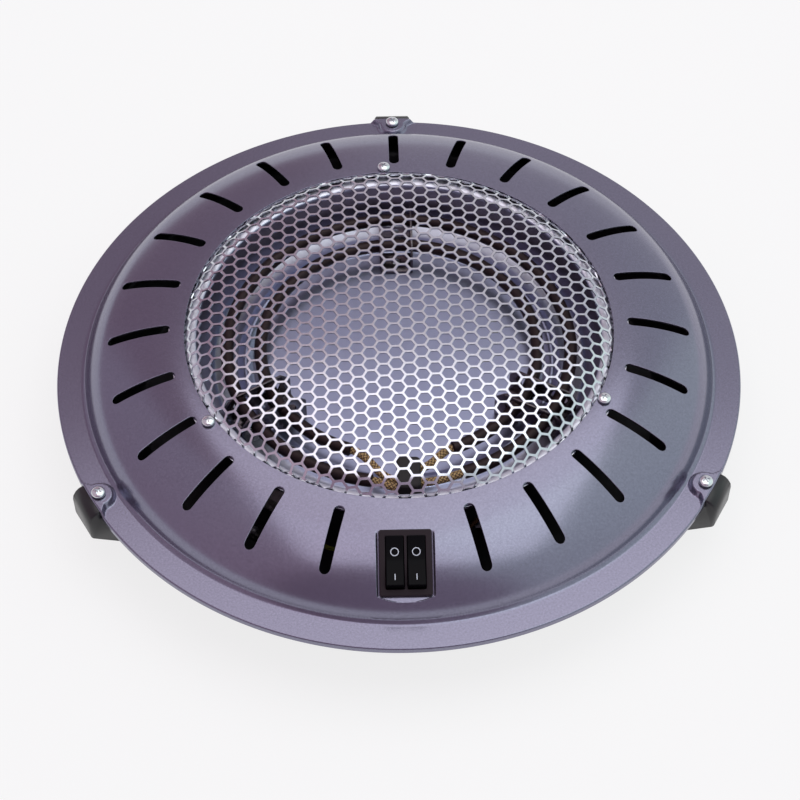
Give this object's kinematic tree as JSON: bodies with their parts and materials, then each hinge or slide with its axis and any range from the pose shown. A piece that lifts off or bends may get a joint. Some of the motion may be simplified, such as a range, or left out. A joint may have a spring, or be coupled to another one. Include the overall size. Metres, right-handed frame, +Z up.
{
  "type": "electric brazier",
  "caption": "Low round under-table electric heater: slotted steel cover, domed hexagonal guard over ring elements in a reflector, twin rocker switch, moulded feet.",
  "frame": {"origin": "on the floor, under the middle of the whole object's outline", "axes": "+Z up; the switch is at the front, towards -Y; the back foot is towards +Y"},
  "size_m": [0.36, 0.3662, 0.0785],
  "materials": {
    "cover_paint": "semi-gloss grey paint with a blue-violet tint",
    "guard_chrome": "bright plated perforated sheet",
    "reflector_aluminium": "polished sheet",
    "zinc_steel": "zinc-plated sheet",
    "screw_steel": "bright plated screw",
    "element_sheath": "dark oxidised element sheath",
    "dark_steel": "dark heat-tinted sheet",
    "black_plastic": "black moulded thermoset",
    "bezel_plastic": "black-brown moulded bezel",
    "rocker_plastic": "black satin rocker",
    "black_ceramic": "black heat-proof insulator",
    "golden_braid": "golden glass-fibre braided sleeve",
    "brass": "plain brass",
    "white_nylon": "off-white nylon",
    "brown_wire": "brown insulation",
    "blue_wire": "blue insulation",
    "earth_wire": "green and yellow insulation"
  },
  "bodies": {
    "brazier": {"bottom_pan": "zinc_steel", "bracket_back": "dark_steel", "bracket_left": "dark_steel", "bracket_right": "dark_steel", "bracket_rivet_back_inner": "zinc_steel", "bracket_rivet_back_outer": "zinc_steel", "bracket_rivet_left_inner": "zinc_steel", "bracket_rivet_left_outer": "zinc_steel", "bracket_rivet_right_inner": "zinc_steel", "bracket_rivet_right_outer": "zinc_steel", "cable_gland": "black_plastic", "clamp_screw_left": "zinc_steel", "clamp_screw_right": "zinc_steel", "cord_clamp": "black_plastic", "cutout_screw_left": "zinc_steel", "cutout_screw_right": "zinc_steel", "earth_screw": "brass", "foot_back": "black_plastic", "foot_left": "black_plastic", "foot_right": "black_plastic", "grille_nut_back": "zinc_steel", "grille_nut_left": "zinc_steel", "grille_nut_right": "zinc_steel", "grille_screw_back": "screw_steel", "grille_screw_left": "screw_steel", "grille_screw_right": "screw_steel", "guard_grille": "guard_chrome", "inner_element": "element_sheath", "lead_bushing": "black_ceramic", "lead_inner_left": "golden_braid", "lead_inner_right": "golden_braid", "lead_outer_left": "golden_braid", "lead_outer_right": "golden_braid", "outer_element": "element_sheath", "reflector": "reflector_aluminium", "rim_screw_back": "screw_steel", "rim_screw_left": "screw_steel", "rim_screw_right": "screw_steel", "switch_blade_left_high": "brass", "switch_blade_left_low": "brass", "switch_blade_right_high": "brass", "switch_blade_right_low": "brass", "switch_housing": "bezel_plastic", "terminal_block": "white_nylon", "thermal_cutout": "black_ceramic", "top_cover": "cover_paint", "wire_earth": "earth_wire", "wire_feed": "brown_wire", "wire_inner": "brown_wire", "wire_neutral": "blue_wire", "wire_outer": "brown_wire", "wire_switch": "brown_wire"},
    "rocker_left": {"rocker_left": "rocker_plastic"},
    "rocker_right": {"rocker_right": "rocker_plastic"}
  },
  "joints": [
    {"name": "rocker_left_hinge", "type": "hinge", "parent": "brazier", "child": "rocker_left", "pos_m": [-0.0052, -0.14557, 0.05724], "axis": [1, 0, 0], "range_deg": [0, 20]},
    {"name": "rocker_right_hinge", "type": "hinge", "parent": "brazier", "child": "rocker_right", "pos_m": [0.0052, -0.14557, 0.05724], "axis": [1, 0, 0], "range_deg": [0, 20]}
  ]
}
